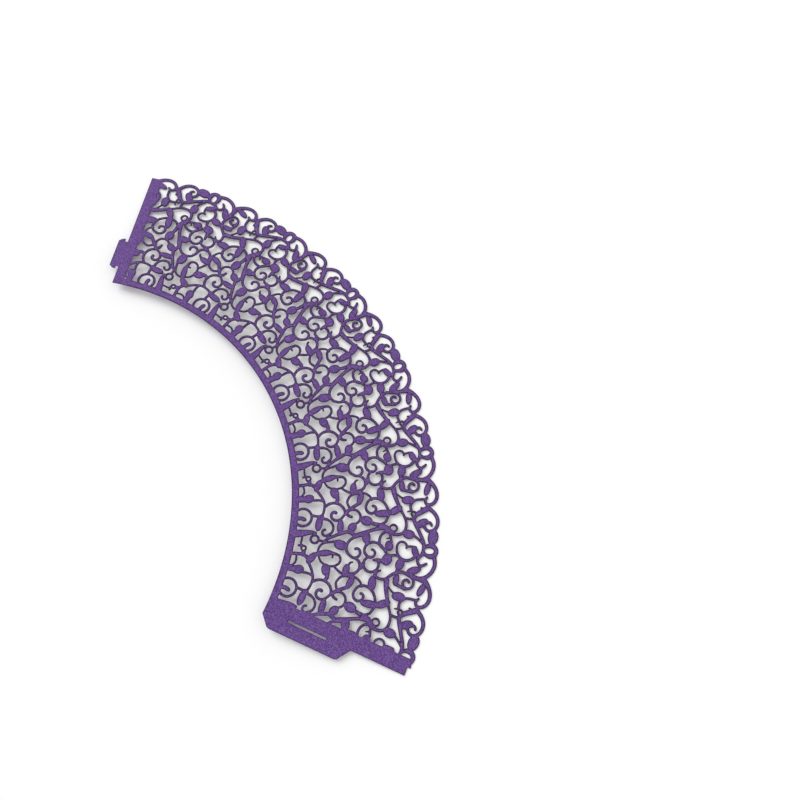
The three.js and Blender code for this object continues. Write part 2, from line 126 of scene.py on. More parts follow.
# The face of the card is darkened this far in from each cut, by the laser's browning and by painted
# shade along the cut edges. The mesh has a row of places there, or nearer the cut where a stem is
# narrow. A place is left out where its distance to any cut is below this share of its own reach.
# Distances are taken from so many marks on each edge.
BROWN_AND_SHADE_WIDTH = 0.4
INNER_ROWS = (0.4, 0.3, 0.2)
CLEAR_SHARE = 0.8
MARKS_PER_EDGE = 4

# Near the two end edges the browning and painted shade beside the cuts are weaker, down to the
# first share below, as far in from them as the first reach. The full darkening is reached at the
# second reach.
END_EDGE_DARKENING = 0.12
END_EDGE_REACH = 5.5
FULL_DARKENING_REACH = 7.5

# The photograph's camera: its place in metres, its turn in degrees and its lens in millimetres
CAMERA_PLACE = (0.08483, -0.02416, 0.23621)
CAMERA_TURN = (19.13, -5.36, 61.31)
CAMERA_LENS = 29.27
SENSOR = 36
NEAREST_SEEN = 0.01

bpy.ops.object.select_all(action="DESELECT")
bpy.ops.object.camera_add(location=CAMERA_PLACE, rotation=[math.radians(a) for a in CAMERA_TURN])
camera = bpy.context.object
camera.name = "photo_camera"
camera.data.lens = CAMERA_LENS
camera.data.sensor_width = SENSOR
camera.data.clip_start = NEAREST_SEEN
bpy.context.scene.camera = camera


# One repeat of the vine, drawn at the middle of the arc in millimetres and degrees: the outlines
# that overlap to make it, and those that are cut out of it
lines = []
cuts = []


def polar(radius, degrees):
    """A point at this radius and angle from the centre of the sheet's arc."""
    return (radius * math.sin(math.radians(degrees)), radius * math.cos(math.radians(degrees)))


def smooth_point(places, span, share):
    """A point of the smooth line through places, between one place and the next."""
    a = Vector(places[max(span - 1, 0)])
    b = Vector(places[span])
    c = Vector(places[span + 1])
    d = Vector(places[min(span + 2, len(places) - 1)])
    v, w = (c - a) / 2, (d - b) / 2
    t, t2, t3 = share, share**2, share**3
    return (2 * b - 2 * c + v + w) * t3 + (-3 * b + 3 * c - 2 * v - w) * t2 + v * t + b


def heading(places, span, share):
    """The way in which the smooth line runs there."""
    step = 0.001
    low, high = max(share - step, 0), min(share + step, 1)
    return (smooth_point(places, span, high) - smooth_point(places, span, low)).normalized()


def ribbon(path, widths):
    """Draws a line of changing width with rounded ends, as a row of triangles."""
    left, right = [], []
    last = len(path) - 1
    for i, point in enumerate(path):
        along = (path[min(i + 1, last)] - path[max(i - 1, 0)]).normalized()
        across = Vector((-along.y, along.x)) * widths[i] / 2
        left.append(point + across)
        right.append(point - across)
    for i in range(last):
        lines.append([left[i], left[i + 1], right[i + 1]])
        lines.append([left[i], right[i + 1], right[i]])
    turns = [math.pi * (k / END_SIDES - 0.5) for k in range(END_SIDES + 1)]
    for i, near in ((0, 1), (last, last - 1)):
        out = (path[i] - path[near]).normalized()
        side = Vector((-out.y, out.x))
        half = widths[i] / 2
        lines.append([
            path[i] + side * half * math.sin(t) + out * widths[i] * ROUND_END * math.cos(t)
            for t in turns
        ])


def stem(wide, narrow, *places):
    """Draws a stem that bends smoothly through a few places, from one width to another."""
    path = []
    for span in range(len(places) - 1):
        bend = heading(places, span, 0).angle(heading(places, span, 1))
        steps = FINER * max(1, math.floor(math.degrees(bend) / BEND_STEP + 0.5))
        path += [smooth_point(places, span, step / steps) for step in range(steps)]
    path.append(Vector(places[-1]))
    widths = [wide + (narrow - wide) * i / (len(path) - 1) for i in range(len(path))]
    ribbon(path, widths)


def curl(x, y, start_angle, start_radius, end_angle, end_radius, wide, narrow, ease=1):
    """Draws a curl that winds about a centre from one angle and radius to another."""
    steps = FINER * max(2, math.ceil(abs(end_angle - start_angle) / BEND_STEP))
    path, widths = [], []
    for step in range(steps + 1):
        share = step / steps
        angle = math.radians(start_angle + (end_angle - start_angle) * share)
        radius = start_radius + (end_radius - start_radius) * share**ease
        path.append(Vector((x + radius * math.cos(angle), y + radius * math.sin(angle))))
        widths.append(wide + (narrow - wide) * share)
    ribbon(path, widths)


def oval(x, y, length, width, degrees, sides):
    """The outline of an oval about a centre, its length turned by so many degrees."""
    across, along = math.sin(math.radians(degrees)), math.cos(math.radians(degrees))
    points = []
    for i in range(sides):
        turn = math.tau * i / sides
        u, v = length / 2 * math.cos(turn), width / 2 * math.sin(turn)
        points.append(Vector((x + u * along - v * across, y + u * across + v * along)))
    return points


def leaf(x, y, length, width, degrees):
    """Draws a leaf."""
    lines.append(oval(x, y, length, width, degrees, LEAF_SIDES))


def eye(x, y, outer, length, width, degrees):
    """Draws a disc of this outer radius with an oval hole."""
    lines.append(oval(x, y, outer * 2, outer * 2, 0, LEAF_SIDES))
    cuts.append(oval(x, y, length, width, degrees, EYE_SIDES))


# Left lobe of the scalloped rim, with its leaf and the curl below it
stem(
    1.6, 0.9, (-18.7, 135.9), (-17.4, 137.3), (-15.3, 138.7), (-13, 139.15), (-11.1, 138.6),
    (-9.9, 137.4), (-9.55, 135.9), (-10.3, 134.95), (-11.3, 134.9), (-12.2, 135.5),
)
leaf(-15.4, 135.45, 5.2, 2.4, -16)
stem(2.4, 1.1, (-18.9, 135.3), (-18.6, 134), (-18.6, 131.8))
stem(
    0.9, 1.0, (-11.5, 134.9), (-11.35, 133.2), (-11, 131.4), (-10, 130.2), (-8.7, 129.5),
    (-6.9, 129.8),
)
eye(-5.8, 130.8, 1.2, 1.1, 0.8, 30)
stem(0.8, 0.4, (-6.8, 129.7), (-6.4, 128.4))
leaf(-10.7, 128.4, 4.7, 3.1, 101)
stem(0.8, 0.6, (-11.2, 126.8), (-11.5, 125.8), (-12.5, 124.3))
curl(-15.9, 129.9, 190, 2.7, -230, 0.8, 1.0, 1.0)
stem(1.0, 1.2, (-13.7, 130), (-14.0, 128), (-14.4, 126.3))
leaf(-15.7, 125.9, 4.2, 2.3, 5)
stem(
    1.2, 1.0, (-18.6, 130), (-19, 127.4), (-18.1, 125.2), (-16.4, 123.5), (-14.9, 122.4),
    (-14.3, 121), (-14.2, 119.6), (-14.8, 118.3),
)

# Second lobe
stem(
    1.5, 1.1, (-8.2, 136.4), (-7.1, 138), (-5.5, 139.3), (-3.7, 139.8), (-1.9, 139.5),
    (-0.5, 138.4), (0, 136.9), (-0.5, 135.6), (-1.4, 135),
)
curl(-2.1, 136.5, 215, 1.05, 90, 1.05, 1.2, 0.9)
leaf(-2.7, 134, 5.0, 2.9, -58)
stem(2.1, 1.5, (-8.4, 136.1), (-7.2, 134.3), (-6.1, 132.5), (-4.9, 131.2), (-3.8, 130.8))
stem(1.0, 0.7, (-7.9, 134.8), (-8.2, 133.4))
stem(
    1.4, 1.2, (-4.4, 130.8), (-2.6, 131.4), (-0.2, 132.7), (2, 133.9), (4.2, 134.9), (6.3, 135),
    (8.3, 134.5), (9.4, 133.5),
)
stem(0.9, 0.9, (-4.1, 130.8), (-3.9, 129.4), (-4.1, 127.8))

# The two small scallops between the lobes, the second one with a long hole
leaf(2.1, 138.25, 5.5, 3.9, -12)
lines.append(oval(7, 137.6, 5.6, 5.6, 0, LEAF_SIDES))
cuts.append(oval(7, 137.05, 2.1, 3.4, 0, EYE_SIDES))

# Third lobe
stem(
    1.5, 1.3, (8.6, 138.9), (10.4, 139.2), (12, 139.2), (13.6, 138.6), (15.1, 137.5), (16.2, 136),
    (16.7, 134.2), (16.6, 132.4),
)
curl(10.9, 135, 125, 3.1, 335, 1.8, 1.1, 1.0, 0.6)
stem(1.1, 0.9, (12.5, 134.2), (12, 135.4), (11.5, 136.2))
leaf(14.1, 131.8, 5.4, 2.6, -74)
stem(1.0, 1.2, (12.2, 134.2), (13.4, 133.7))
stem(1.3, 1.3, (14.8, 131.3), (16.2, 130.7))
stem(1.6, 1.5, (16.7, 132.8), (16, 130.8))
leaf(12.3, 126.7, 4.2, 3.2, -25)
stem(1.4, 1.4, (13.2, 126.2), (15.4, 125.7))
curl(7.2, 128.9, 55, 3.7, -95, 3.6, 1.2, 0.9)
curl(6.2, 127.4, -80, 2.1, -285, 1.4, 0.9, 0.8)
leaf(7.5, 131.9, 3.6, 2.5, 15)
stem(1.5, 1.5, (8.4, 132.6), (9.6, 133.3))
stem(0.9, 0.8, (6.1, 132.2), (5.85, 130.8), (6, 129.2))
stem(0.9, 0.9, (1.9, 131.2), (2.7, 132.4), (3.7, 133.7), (4.6, 134.6))
leaf(1.65, 129.4, 4.4, 3.3, 90)

# The long spike and the arch over the eye
stem(2.0, 0.9, (-14.6, 122.8), (-12.5, 123.3), (-10.3, 124.2), (-8, 125.4), (-5.6, 126.8))
stem(
    0.9, 1.3, (-5.6, 126.8), (-3.6, 127.9), (-1.5, 128.3), (0.4, 127.9), (1.6, 126.8), (2.1, 125.2),
    (1.9, 123.6), (1.2, 122.2),
)
leaf(-6.6, 124.1, 5.6, 2.8, -55)
leaf(-5.1, 119.6, 6.2, 2.7, -80)
eye(-0.1, 123.7, 1.65, 1.9, 1.5, 90)
stem(2.2, 1.1, (1.2, 122.6), (-0.2, 120.8), (-0.8, 118.8), (-1.1, 116.8), (-1.6, 115.2))
stem(1.0, 1.0, (-5, 121.8), (-3.5, 121.3), (-2.1, 120.7), (-1.2, 119.3))
leaf(-11.9, 118.3, 5.2, 3.0, 12)
curl(-6.7, 115.6, 88, 5.8, 240, 2.45, 1.0, 1.0, 0.75)
curl(-6.7, 115.6, 240, 2.45, 530, 0.75, 1.0, 1.0, 1.3)
leaf(-2, 113.8, 4.5, 3.5, 80)

# The long straight stem and the pair of curls beside it
stem(1.4, 1.1, (0.1, 120.4), (0.5, 118), (1.2, 116), (2, 113.8), (2.8, 111.5), (3.7, 109.9))
stem(1.7, 1.4, (2.7, 113.8), (3.2, 111.8), (4, 110))
leaf(3.9, 114.2, 4.2, 3.0, 0)
stem(1.2, 1.0, (5.2, 114.5), (6.6, 114.4))
stem(
    1.0, 1.0, (1.1, 122), (1.7, 120.5), (2.8, 119.4), (4.3, 118.95), (5.9, 119.1), (7, 120),
    (7.8, 121.3),
)
leaf(6.2, 122.5, 3.6, 3.0, 20)
stem(0.9, 1.0, (1.9, 122.6), (3.3, 122.9), (4.9, 123.3))
stem(0.8, 0.4, (3.3, 122.8), (3.8, 121.4))
stem(0.9, 1.0, (6.8, 121.7), (8.2, 121.5), (9.4, 121.8))
leaf(11, 122, 4.3, 3.7, -20)
stem(1.0, 1.0, (9.4, 126.1), (9.3, 124.4), (9.7, 122.9))
curl(8.9, 116.2, 95, 5.2, 300, 1.95, 1.0, 1.0, 0.7)
curl(8.9, 116.2, 300, 1.95, 525, 0.95, 1.0, 0.9, 1.5)
curl(13, 116.5, 115, 2.7, -165, 2.65, 1.0, 1.0)
stem(1.6, 0.9, (11.7, 120.6), (11.4, 118.8), (11.5, 117.3))
stem(1.1, 1.1, (15.1, 118), (16.2, 118.1), (17.3, 118.1))
stem(1.2, 0.7, (16.3, 118.2), (15.4, 118.9), (14.9, 120))
curl(9, 110.6, -185, 5.4, -50, 2.3, 1.1, 1.0, 0.75)
curl(9, 110.6, -50, 2.3, 180, 0.85, 1.0, 1.0, 2)

# The arch of the small leaf pair
curl(-15.4, 109.6, 190, 2.6, 15, 3.0, 1.0, 1.1)
stem(1.0, 0.6, (-15, 108.5), (-16, 108.8), (-16.4, 109.5))
leaf(-16.6, 113.1, 3.6, 1.5, -10)
leaf(-13.3, 108.2, 4.1, 2.5, 0)
leaf(-12, 109.9, 3.4, 1.9, -70)
stem(0.8, 0.8, (-9.6, 115.2), (-10.9, 114.4), (-11.7, 112.9), (-12.1, 111))
stem(1.0, 0.8, (-11.6, 109), (-11.6, 107.3), (-12, 105.8), (-12.9, 104))
leaf(-9.7, 111, 4.5, 2.4, -14)
stem(0.9, 0.9, (-11.3, 108.9), (-10.6, 107.5), (-9.3, 106.7), (-7.9, 106.4), (-6.4, 107.2))
stem(1.3, 1.3, (-8.2, 111), (-7, 109.4), (-6, 108.1), (-5, 107), (-3.9, 106.1))
curl(-3, 109, 215, 2.6, 0, 2.6, 0.9, 0.9)
stem(1.2, 0.9, (-4.3, 106.4), (-3.3, 107.2), (-2.9, 108.5))
leaf(0.8, 108.9, 3.8, 3.0, -35)

# The big curl and its neighbours
stem(
    1.4, 1.0, (3.4, 110.2), (2.5, 108), (2.6, 106.8), (3.7, 104), (4.4, 102.5), (5.2, 101),
    (6.2, 99.6),
)
curl(-3.2, 102.4, 235, 4.5, 100, 3.7, 1.0, 1.0)
curl(-3.2, 102.5, 100, 3.6, -200, 0.75, 0.9, 1.2, 0.5)
leaf(-11, 101.6, 4.2, 3.2, 25)
stem(1.6, 1.3, (-10, 102.5), (-8.6, 102.9), (-7.4, 102.4))
leaf(0.9, 104.7, 5.6, 2.4, 0)
leaf(7.2, 105.4, 5.0, 3.4, 80)
stem(
    0.9, 0.8, (5.7, 104.8), (6.2, 103), (6.5, 101), (7, 99.3), (8, 98.2), (9.3, 97.7), (10.6, 97.6),
)
stem(
    0.7, 1.0, (11.3, 98), (13.3, 98.9), (14.5, 101), (14.6, 103.4), (13.6, 105.2), (12.1, 105.7),
    (10.8, 105.1), (10.4, 103.6),
)
stem(0.8, 0.6, (10.6, 103), (11.7, 102.8))
stem(0.9, 1.7, (10.4, 104.2), (10.2, 102.7), (10.1, 101.3))
leaf(10.35, 100, 5.8, 2.3, -82)
stem(1.5, 1.5, (10.7, 98), (11, 96.9), (11.6, 96.1))
leaf(12.3, 95.6, 4.8, 2.5, -38)
stem(1.2, 1.2, (12.8, 94.6), (11.7, 93.4), (11.1, 92))
curl(2, 99.5, 195, 3.55, 20, 2.4, 0.9, 0.9, 0.7)
curl(3.2, 99.6, 30, 1.3, -170, 0.9, 0.9, 0.9)
leaf(0.3, 97.1, 5.6, 2.6, -6)
stem(1.5, 0.9, (-2.4, 97.8), (-1.5, 98.5), (-1.4, 99.8))
stem(1.2, 1.2, (3.8, 101.2), (5.4, 100.6))

# The row above the lower band
stem(
    1.0, 0.9, (-13.2, 93.9), (-11.3, 95.2), (-9.8, 96.6), (-8.3, 97.7), (-6.8, 98.4), (-5.2, 98.5),
    (-3.6, 98.3), (-2.0, 97.9),
)
stem(0.9, 0.9, (-7.6, 98.1), (-7.9, 96.6), (-7.8, 95.2), (-7.6, 93.8))
leaf(-8.1, 92.7, 3.8, 3.1, -70)
stem(2.2, 2.3, (-7.9, 92), (-7.6, 88.5))
stem(0.9, 1.0, (-2.3, 98), (-2.1, 96.6), (-2.3, 94.3))
curl(-1.35, 91.3, 220, 3.1, -40, 3.0, 0.9, 1.0)
stem(1.6, 1.4, (-0.9, 88.8), (-1, 91))
leaf(-0.8, 91.5, 2.3, 1.5, 75)
stem(3.0, 0.9, (4.4, 88.5), (4.2, 91.2), (3.8, 93.3), (3.6, 95), (3.7, 96.4))
eye(5.85, 96.1, 1.8, 1.9, 1.9, 0)
stem(0.8, 0.9, (6.1, 97.5), (6.4, 99.3))
eye(9.2, 92.6, 1.15, 0.9, 0.9, 0)
stem(0.9, 0.8, (8.3, 92.1), (8.35, 90.8))
stem(1.3, 1.5, (9.9, 92.8), (11.4, 92.6))
stem(1.2, 1.2, (11.1, 93), (11.2, 91), (11.1, 88.5))
stem(0.7, 0.7, (4.8, 91.8), (6.5, 91.6), (7.6, 91.5), (8.4, 92))
stem(0.7, 0.7, (-12.9, 90), (-11.5, 90.6), (-10.2, 90.8), (-9.2, 90.4), (-8.4, 89.7))


def turned(points, degrees):
    """The same outline, further round the arc."""
    placed = []
    for x, y in points:
        radius, angle = math.hypot(x, y), math.degrees(math.atan2(x, y))
        placed.append(polar(radius, angle + degrees))
    return placed


def arc(radius, start, end):
    """Points round the centre from one angle to another."""
    steps = math.ceil(abs(end - start) / ARC_STEP)
    return [polar(radius, start + (end - start) * i / steps) for i in range(steps + 1)]


def degrees_for(length, radius):
    """The angle that a length takes up at a radius."""
    return math.degrees(length / radius)


def beside_end(side, along, out):
    """A point beside an end edge: so far along it from the short edge, and so far out from it."""
    x, y = polar(INNER_RADIUS + along, side * HALF_ANGLE)
    return (
        x + out * side * math.cos(math.radians(HALF_ANGLE)),
        y - out * math.sin(math.radians(HALF_ANGLE)),
    )


def end_strip(side, low, high):
    """The bare strip along an end edge, from one width at the short edge to another at the rim."""
    end = side * HALF_ANGLE
    corner_radius = OUTER_RADIUS - CORNER_DROP
    return [
        polar(INNER_RADIUS, end),
        polar(INNER_RADIUS + BAND / 2, end - side * degrees_for(low, INNER_RADIUS)),
        polar(corner_radius, end - side * degrees_for(high, corner_radius)),
        polar(corner_radius, end),
    ]


low_radius = INNER_RADIUS + BAND / 2
field_radius = OUTER_RADIUS * FIELD_REACH
hook_side = -HALF_ANGLE + degrees_for(HOOK_STRIP_LOW / 2, INNER_RADIUS)
slot_side = HALF_ANGLE - degrees_for(SLOT_STRIP_LOW / 2, INNER_RADIUS)
vine_field = [
    polar(low_radius, hook_side),
    polar(OUTER_RADIUS + BAND, -HALF_ANGLE + degrees_for(HOOK_STRIP_HIGH / 2, OUTER_RADIUS)),
    polar(field_radius, -HALF_ANGLE / 2),
    polar(field_radius, HALF_ANGLE / 2),
    polar(OUTER_RADIUS + BAND, HALF_ANGLE - degrees_for(SLOT_STRIP_HIGH / 2, OUTER_RADIUS)),
    *arc(low_radius, slot_side, hook_side)[:-1],
]
band = [
    *arc(INNER_RADIUS, -HALF_ANGLE, HALF_ANGLE),
    *arc(INNER_RADIUS + BAND, HALF_ANGLE, -HALF_ANGLE),
]
tab = [
    beside_end(1, 0, -OVERLAP),
    beside_end(1, 0, TAB_REACH * TAB_START_SHARE),
    beside_end(1, TAB_CHAMFER, TAB_REACH * TAB_CHAMFER_SHARE),
    beside_end(1, TAB_CHAMFER + TAB_CORNER, TAB_REACH),
    beside_end(1, TAB_LENGTH - TAB_CHAMFER - TAB_CORNER, TAB_REACH),
    beside_end(1, TAB_LENGTH - TAB_CHAMFER, TAB_REACH * TAB_CHAMFER_SHARE),
    beside_end(1, TAB_LENGTH, 0),
    beside_end(1, TAB_LENGTH, -OVERLAP),
]
slot = [
    beside_end(1, SLOT_START, -SLOT_WIDTH / 2),
    beside_end(1, SLOT_START, SLOT_WIDTH / 2),
    beside_end(1, SLOT_START + SLOT_LENGTH, SLOT_WIDTH / 2),
    beside_end(1, SLOT_START + SLOT_LENGTH, -SLOT_WIDTH / 2),
]
hook_end = HOOK_START + HOOK_LENGTH
hook = [
    beside_end(-1, HOOK_START + HOOK_BARB, -OVERLAP),
    beside_end(-1, HOOK_START + HOOK_BARB, HOOK_NOTCH),
    beside_end(-1, HOOK_START, HOOK_NOTCH),
    beside_end(-1, HOOK_START + HOOK_SLANT, HOOK_REACH - HOOK_CORNER),
    beside_end(-1, HOOK_START + HOOK_CORNER, HOOK_REACH),
    beside_end(-1, hook_end - HOOK_CORNER, HOOK_REACH),
    beside_end(-1, hook_end - HOOK_SLANT, HOOK_REACH - HOOK_CORNER),
    beside_end(-1, hook_end, HOOK_NOTCH),
    beside_end(-1, hook_end - HOOK_BARB, HOOK_NOTCH),
    beside_end(-1, hook_end - HOOK_BARB, -OVERLAP),
]


def area_of(points):
    """The area inside an outline, below zero where it runs clockwise."""
    pairs = zip(points, points[1:] + points[:1])
    return sum(a[0] * b[1] - b[0] * a[1] for a, b in pairs) / 2


def overlaid(outlines, lone_points=()):
    """Outlines laid over each other: points, triangles, and which outlines each lies in."""
    points, faces = [], []
    for outline in outlines:
        ordered = outline if area_of(outline) > 0 else outline[::-1]
        faces.append(list(range(len(points), len(points) + len(ordered))))
        points += [Vector(p) for p in ordered]
    points += [Vector(p) for p in lone_points]
    inside_only, with_numbers = 1, True
    made_points, _, triangles, _, _, numbers = delaunay_2d_cdt(
        points, [], faces, inside_only, SAME_CROSSING, with_numbers
    )
    return made_points, triangles, numbers


# Every outline, and what it is: a line or a cut of one repeat, the vine's field, solid card or slot
outlines = []
kinds = []
for repeat in range(REPEATS):
    turn = FIRST_REPEAT + repeat * REPEAT_ANGLE
    for kind, shapes in (("line", lines), ("cut", cuts)):
        for shape in shapes:
            outlines.append(turned(shape, turn))
            kinds.append((kind, repeat))
outlines.append(vine_field)
kinds.append(("field", 0))
hook_strip = end_strip(-1, HOOK_STRIP_LOW, HOOK_STRIP_HIGH)
slot_strip = end_strip(1, SLOT_STRIP_LOW, SLOT_STRIP_HIGH)
for shape in (band, tab, hook, hook_strip, slot_strip):
    outlines.append(shape)
    kinds.append(("card", 0))
outlines.append(slot)
kinds.append(("slot", 0))


def is_card(numbers):
    """Whether card is left where these outlines overlap."""
    here = {kinds[number] for number in numbers}
    if ("slot", 0) in here:
        return False
    if ("card", 0) in here:
        return True
    return ("field", 0) in here and any(
        ("line", repeat) in here and ("cut", repeat) not in here for repeat in range(REPEATS)
    )


def edge_loops(faces):
    """The closed edges round these faces, each with the card on its left."""
    edges = set()
    for face in faces:
        for a, b in zip(face, face[1:] + face[:1]):
            if (b, a) in edges:
                edges.remove((b, a))
            else:
                edges.add((a, b))
    follows = {}
    for a, b in edges:
        follows.setdefault(a, []).append(b)
    loops = []
    while follows:
        here = min(follows)
        loop = []
        while here in follows:
            loop.append(here)
            after = follows[here].pop()
            if not follows[here]:
                del follows[here]
            here = after
        loops.append(loop)
    return loops


def evened(loop):
    """The loop without places that lie closer together than the shortest edge."""
    kept = [loop[0]]
    for point in loop[1:]:
        if (point - kept[-1]).length > SHORTEST_EDGE:
            kept.append(point)
    if len(kept) > 3 and (kept[-1] - kept[0]).length < SHORTEST_EDGE:
        kept.pop()
    return kept


def spaced(loop):
    """The loop with more places along its long straight edges."""
    filled = []
    for a, b in zip(loop, loop[1:] + loop[:1]):
        steps = math.ceil((b - a).length / LONGEST_EDGE)
        filled += [a.lerp(b, step / steps) for step in range(steps)]
    return filled


# The cuts of the sheet, the largest first: that one is the outline of the sheet itself
places, triangles, inside = overlaid(outlines)
card_faces = [list(face) for face, numbers in zip(triangles, inside) if is_card(numbers)]
loops = [spaced(evened([places[v] for v in loop])) for loop in edge_loops(card_faces)]
loops = [loop for loop in loops if abs(area_of(loop)) > SMALLEST_HOLE]
loops.sort(key=lambda loop: -abs(area_of(loop)))

# Marks along every cut, from which distances are measured
marks = [
    a.lerp(b, step / MARKS_PER_EDGE)
    for loop in loops
    for a, b in zip(loop, loop[1:] + loop[:1])
    for step in range(MARKS_PER_EDGE)
]
cut_line = kdtree.KDTree(len(marks))
for i, mark in enumerate(marks):
    cut_line.insert((mark.x, mark.y, 0), i)
cut_line.balance()


def from_cut(point):
    """How far a point is from the nearest cut."""
    return cut_line.find((point.x, point.y, 0))[2]


def darkening_share(point):
    """The share of browning and painted shade near a point, from its distance in from the nearer
    end edge.
    """
    from_end = math.radians(HALF_ANGLE) - abs(math.atan2(point.x, point.y))
    inward = math.hypot(point.x, point.y) * math.sin(from_end)
    share = (inward - END_EDGE_REACH) / (FULL_DARKENING_REACH - END_EDGE_REACH)
    return END_EDGE_DARKENING + (1 - END_EDGE_DARKENING) * min(1, max(0, share))


# Beside each cut, a second row of places marks how far in the card is browned and darkened with
# painted shade
inner_row = []
for loop in loops:
    for i, point in enumerate(loop):
        along = (loop[(i + 1) % len(loop)] - loop[i - 1]).normalized()
        for reach in INNER_ROWS:
            spot = point + Vector((-along.y, along.x)) * reach
            if from_cut(spot) > reach * CLEAR_SHARE:
                inner_row.append(spot)
                break

# The face of the sheet is what lies inside its own outline and in none of the holes
places, triangles, inside = overlaid(loops, inner_row)
faces = [list(face) for face, numbers in zip(triangles, inside) if list(numbers) == [0]]
used = sorted({v for face in faces for v in face})
number_of = {v: i for i, v in enumerate(used)}
faces = [[number_of[v] for v in face] for face in faces]
flat = [Vector((places[v].x, places[v].y, 0)) for v in used]
# How dark each place beside the cuts is painted: the laser's browning and painted shade along the
# cut edges
brown_and_shade_by_place = [darkening_share(point) * max(0, 1 - from_cut(point) / BROWN_AND_SHADE_WIDTH) for point in flat]
middle_x = (min(p.x for p in flat) + max(p.x for p in flat)) / 2
middle_y = (min(p.y for p in flat) + max(p.y for p in flat)) / 2

# The flat sheet, then its thickness, then the curl it keeps from its stack, then metres
bpy.ops.object.add(type="MESH")
sheet = bpy.context.object
sheet.name = "lace_sheet"
sheet.data.name = "lace_sheet"
sheet.data.from_pydata(flat, [], faces)
# This attribute carries that darkening, browning and painted shade, to the material
browning_and_painted_shade = sheet.data.attributes.new("browning_and_painted_shade", "FLOAT", "POINT")
browning_and_painted_shade.data.foreach_set("value", brown_and_shade_by_place)
bpy.ops.object.mode_set(mode="EDIT")
bpy.ops.mesh.select_all(action="SELECT")
bpy.ops.mesh.remove_doubles(threshold=SAME_PLACE)
bpy.ops.object.mode_set(mode="OBJECT")
thickness = sheet.modifiers.new("card thickness", "SOLIDIFY")
thickness.thickness = CARD
thickness.offset = 1
thickness.material_offset_rim = 1
thickness.use_even_offset = False
bpy.ops.object.modifier_apply(modifier=thickness.name)
rest = OUTER_RADIUS + FLAT_RIM
for vertex in sheet.data.vertices:
    radius = math.hypot(vertex.co.x, vertex.co.y)
    vertex.co.z += CURL_LIFT * max(0, (rest - radius) / (rest - INNER_RADIUS))
heights = [vertex.co.z for vertex in sheet.data.vertices]
lowest, highest = min(heights), max(heights)
# The finer curves come out a few micrometres higher than the CAD's, so its own height is kept
to_height = bounds_before[1].z / MM / (highest - lowest)
bpy.ops.object.mode_set(mode="EDIT")
bpy.ops.mesh.select_all(action="SELECT")
bpy.ops.mesh.normals_make_consistent(inside=False)
bpy.ops.transform.translate(value=(-middle_x, -middle_y, -lowest))
bpy.ops.object.mode_set(mode="OBJECT")
sheet.scale = (MM, MM, MM * to_height)
bpy.ops.object.transform_apply(location=False, rotation=False, scale=True)
bpy.ops.object.shade_smooth_by_angle(angle=math.radians(SMOOTH_ANGLE))


def linear(hex_colour):
    """An sRGB hex colour as the linear colour that the sockets take."""
    parts = [int(hex_colour[i : i + 2], 16) / 255 for i in (1, 3, 5)]
    return [p / 12.92 if p <= 0.04045 else ((p + 0.055) / 1.055) ** 2.4 for p in parts] + [1]


def add(tree, kind, settings=None, values=None, links=None):
    """Adds a node with its options, its sockets' own values, and the outputs its sockets take."""
    node = tree.nodes.new(kind)
    for name, value in (settings or {}).items():
        setattr(node, name, value)
    for name, value in (values or {}).items():
        node.inputs[name].default_value = value
    for name, output in (links or {}).items():
        tree.links.new(output, node.inputs[name])
    return node


def set_stops(ramp, *stops):
    """Gives a colour ramp its stops, each a place and a hex colour."""
    elements = ramp.color_ramp.elements
    while len(elements) < len(stops):
        elements.new(0.5)
    for element, (place, hex_colour) in zip(elements, stops):
        element.position = place
        element.color = linear(hex_colour)


def new_material(name):
    """A material and its empty node tree."""
    material = bpy.data.materials.new(name)
    material.use_nodes = True
    material.node_tree.nodes.clear()
    return material, material.node_tree


def seen_directly(tree):
    """1 on rays from the camera, from a gloss or through something clear, 0 on the light's own."""
    rays = add(tree, "ShaderNodeLightPath")
    seen = rays.outputs["Is Camera Ray"]
    for kind in ("Is Glossy Ray", "Is Transmission Ray"):
        either = add(
            tree,
            "ShaderNodeMath",
            settings={"operation": "MAXIMUM"},
            links={0: seen, 1: rays.outputs[kind]},
        )
        seen = either.outputs["Value"]
    return seen


# A mix node's sockets for colours go by number, because they share their names with others
MIX_SHARE, MIX_FIRST, MIX_SECOND, MIX_COLOUR = 0, 6, 7, 2

# Pearl card: purple paper printed with mica ink, so the face is grainy, with a soft, satin sheen.
# The mica's real grain is near 0.1 mm, and it is drawn 0.5 mm coarse to show at this distance. The
# press leaves the ink a little uneven, every 5 mm or so.
MICA_GRAIN = 0.5
PRESS_MOTTLE = 5.0
MOTTLE_SHARE = 0.25
GRIT_HEIGHT = 0.02
# How the browning and painted shade beside the cuts fade inwards
BROWN_AND_SHADE_FADE = 0.38
pearl_card, pearl = new_material("pearl_mica_card")
on_sheet = add(pearl, "ShaderNodeTexCoord").outputs["Object"]
grain = add(
    pearl,
    "ShaderNodeTexNoise",
    values={"Scale": 1 / (MICA_GRAIN * MM), "Detail": 2.0, "Roughness": 0.6},
    links={"Vector": on_sheet},
)
mottle = add(
    pearl,
    "ShaderNodeTexNoise",
    values={"Scale": 1 / (PRESS_MOTTLE * MM), "Detail": 2.0, "Roughness": 0.5},
    links={"Vector": on_sheet},
)
mica = add(pearl, "ShaderNodeValToRGB", links={"Fac": grain.outputs["Fac"]})
set_stops(mica, (0.36, "#50376e"), (0.5, "#674889"), (0.64, "#8464a6"))
ink = add(pearl, "ShaderNodeValToRGB", links={"Fac": mottle.outputs["Fac"]})
set_stops(ink, (0.3, "#5c417f"), (0.7, "#6b4f8f"))
face = add(
    pearl,
    "ShaderNodeMix",
    settings={"data_type": "RGBA"},
    values={MIX_SHARE: MOTTLE_SHARE},
    links={MIX_FIRST: mica.outputs["Color"], MIX_SECOND: ink.outputs["Color"]},
)
